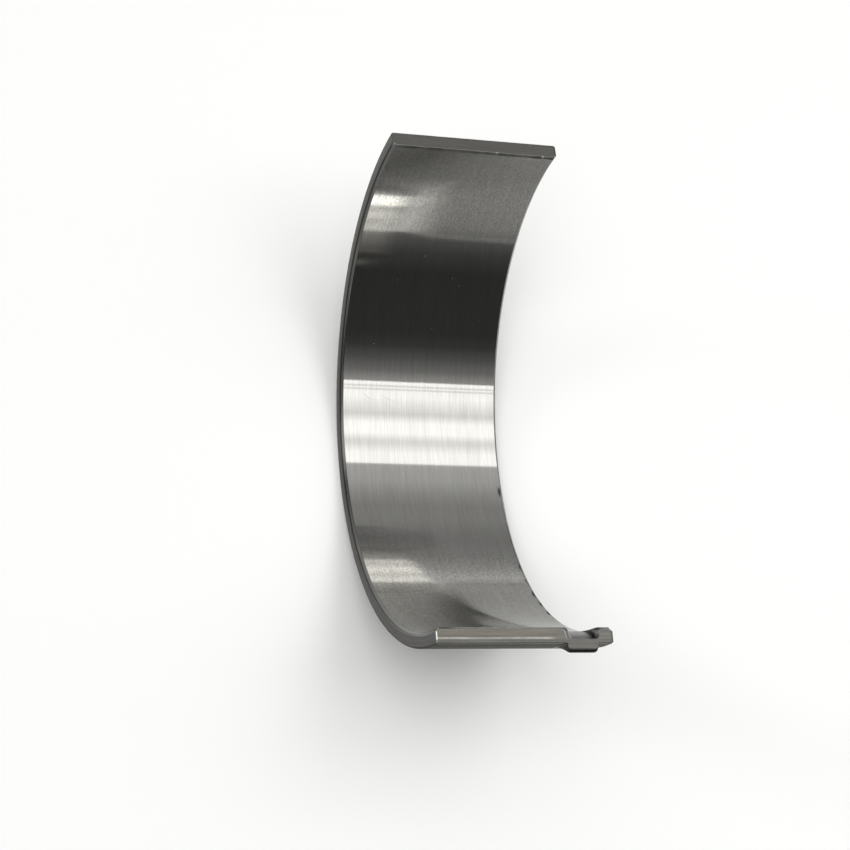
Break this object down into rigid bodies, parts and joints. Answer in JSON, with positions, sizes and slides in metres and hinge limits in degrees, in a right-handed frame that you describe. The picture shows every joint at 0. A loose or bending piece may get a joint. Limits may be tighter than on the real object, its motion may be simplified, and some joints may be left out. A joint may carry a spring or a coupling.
{
  "type": "engine bearing shell",
  "caption": "Half-round plain bearing shell for a connecting rod's big end, with a locating lug pressed out at one parting face.",
  "frame": {"origin": "on the bore's axis at mid-width", "axes": "+X along the bore towards the end with the lug, +Y across the opening towards the plain parting face, +Z out of the opening; the shell lies on its back"},
  "size_m": [0.0168, 0.0504, 0.0235],
  "materials": {
    "bearing_metal": "fine-bored lining on a rolled steel back, sheared and broached edges"
  },
  "bodies": {
    "root": {"bearing_shell": "bearing_metal"}
  },
  "joints": []
}
